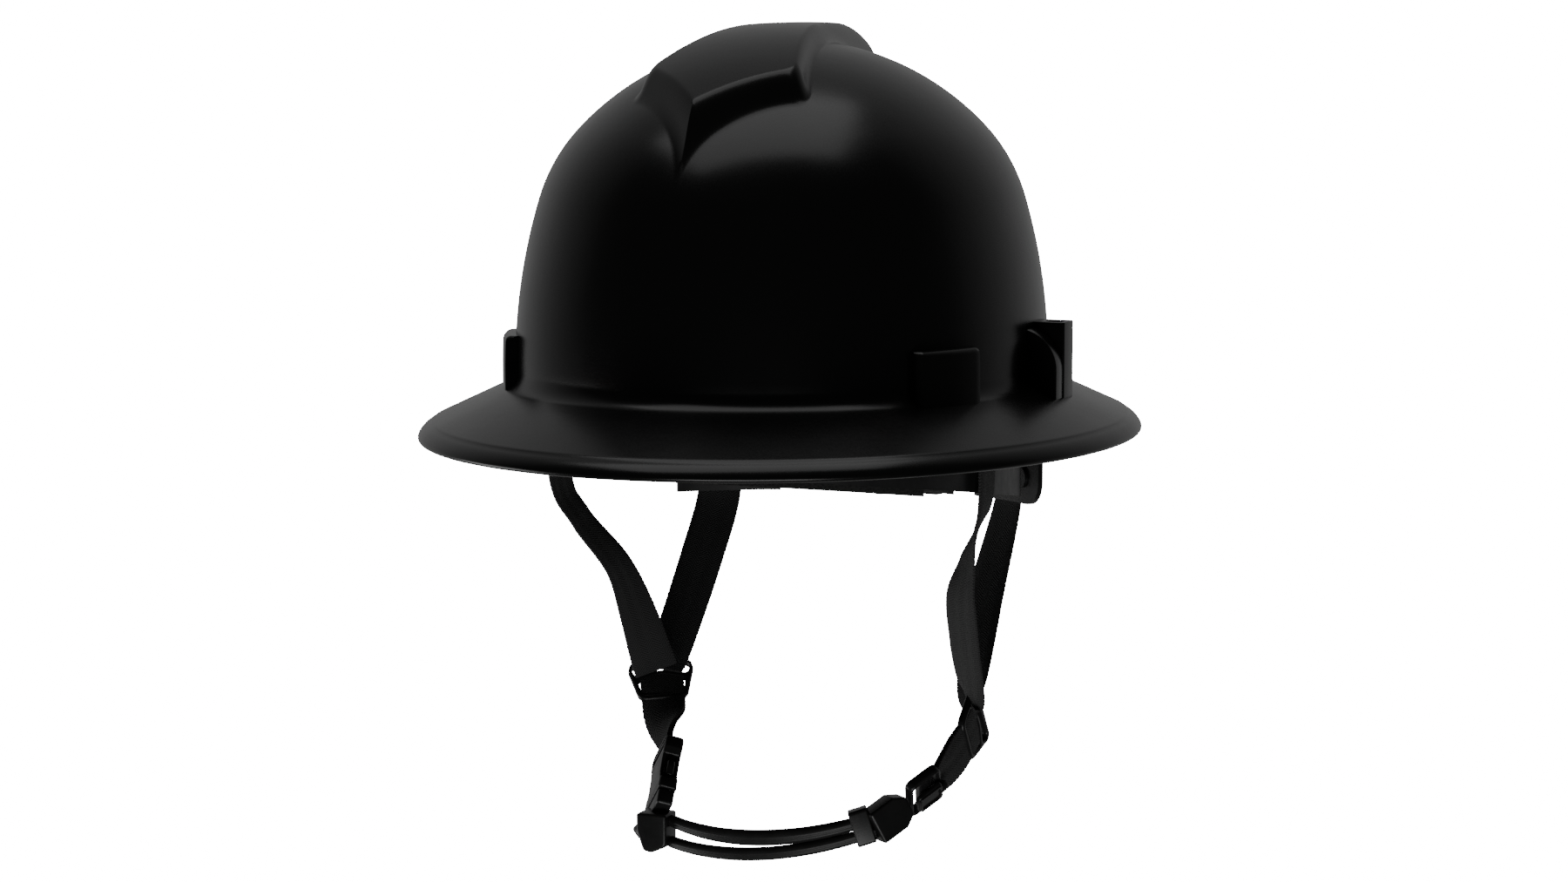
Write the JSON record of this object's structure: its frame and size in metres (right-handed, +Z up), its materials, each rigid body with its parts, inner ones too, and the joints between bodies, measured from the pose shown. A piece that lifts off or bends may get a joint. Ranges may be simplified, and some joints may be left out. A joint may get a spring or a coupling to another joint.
{
  "type": "full-brim hard hat",
  "caption": "Full-brim hard hat with a ridged gloss shell, ratchet headband suspension and a four-point webbing chin strap with side-release buckle.",
  "frame": {"origin": "centre of the head opening on the plane of the brim's lower edge", "axes": "+Z up through the crown, -Y to the wearer's front, +X to the wearer's left"},
  "size_m": [0.2906, 0.3428, 0.3477],
  "materials": {
    "shell": "smooth high-gloss injection-moulded shell",
    "webbing": "matt twill-woven polyester webbing",
    "pad": "brushed terry and moulded foam",
    "rail": "satin moulded rubber",
    "screw": "zinc plated",
    "band": "satin moulded nylon",
    "hardware": "semi-gloss moulded acetal"
  },
  "bodies": {
    "helmet": {"brow_pad": "pad", "cover_screws": "screw", "crown_strap_a": "webbing", "crown_strap_b": "webbing", "front_anchor_left": "hardware", "front_anchor_right": "hardware", "headband": "band", "key_front_left": "band", "key_front_right": "band", "key_rear_left": "band", "key_rear_right": "band", "nape_pad": "pad", "nape_plate_left": "hardware", "nape_plate_right": "hardware", "plate_stud_left": "hardware", "plate_stud_right": "hardware", "ratchet_cover": "hardware", "ratchet_housing": "hardware", "shell": "shell", "strap_front_left": "webbing", "strap_front_right": "webbing", "strap_rear_left": "webbing", "strap_rear_right": "webbing"},
    "ratchet_knob": {"ratchet_knob": "hardware", "pinion": "hardware"},
    "rack_left": {"rack_left": "band", "band_arm_left": "band"},
    "rack_right": {"rack_right": "band", "band_arm_right": "band"},
    "slider_left": {"y_slider_left": "hardware"},
    "slider_right": {"y_slider_right": "hardware"},
    "chin_loop": {"strap_lower_left": "webbing", "strap_lower_right": "webbing", "buckle_socket": "hardware", "rail_keeper": "hardware", "rail_bracket": "hardware", "strap_lock": "hardware", "lock_lever": "hardware", "chin_rail_upper": "rail", "chin_rail_lower": "rail"},
    "plug": {"buckle_plug": "hardware"},
    "prong_front": {"prong_front": "hardware"},
    "prong_rear": {"prong_rear": "hardware"}
  },
  "joints": [
    {"name": "knob_turn", "type": "hinge", "parent": "helmet", "child": "ratchet_knob", "pos_m": [0, 0.1115, -0.022], "axis": [0, -1, 0], "range_deg": [0, 80]},
    {"name": "rack_left_slide", "type": "hinge", "parent": "helmet", "child": "rack_left", "pos_m": [0, -0.012, -0.022], "axis": [0, 0, 1], "range_deg": [0, 4.1], "deforming": ["band_arm_left"]},
    {"name": "rack_right_slide", "type": "hinge", "parent": "helmet", "child": "rack_right", "pos_m": [0, -0.012, -0.022], "axis": [0, 0, -1], "range_deg": [0, 4.1], "deforming": ["band_arm_right"]},
    {"name": "slider_left_slide", "type": "slide", "parent": "helmet", "child": "slider_left", "axis": [-0.0501, -0.852, -0.5212], "range_m": [-0.002, 0.004], "deforming": ["strap_front_left", "strap_rear_left", "strap_lower_left"]},
    {"name": "slider_right_slide", "type": "slide", "parent": "helmet", "child": "slider_right", "axis": [0.3794, -0.669, -0.6391], "range_m": [-0.002, 0.004], "deforming": ["strap_front_right", "strap_rear_right", "strap_lower_right"]},
    {"name": "chin_loop_swing", "type": "hinge", "parent": "helmet", "child": "chin_loop", "pos_m": [0, 0.038, -0.1209], "axis": [0.9977, 0, -0.0675], "range_deg": [-20, 30]},
    {"name": "buckle_release", "type": "slide", "parent": "chin_loop", "child": "plug", "axis": [0.1576, -0.6935, -0.703], "range_m": [0, 0.02], "deforming": ["chin_rail_upper", "chin_rail_lower", "prong_front", "prong_rear"]},
    {"name": "prong_front_squeeze", "type": "hinge", "parent": "plug", "child": "prong_front", "pos_m": [-0.05749, -0.00295, -0.16483], "axis": [0.8367, 0.4719, -0.278], "range_deg": [0, 9], "stiffness_Nm_per_rad": 0.02},
    {"name": "prong_rear_squeeze", "type": "hinge", "parent": "plug", "child": "prong_rear", "pos_m": [-0.04994, -0.01078, -0.15541], "axis": [-0.8367, -0.4719, 0.278], "range_deg": [0, 9], "stiffness_Nm_per_rad": 0.02}
  ],
  "couplings": [
    {"joint": "rack_left_slide", "follows": "knob_turn", "ratio": 0.050633},
    {"joint": "rack_right_slide", "follows": "knob_turn", "ratio": 0.050633}
  ]
}
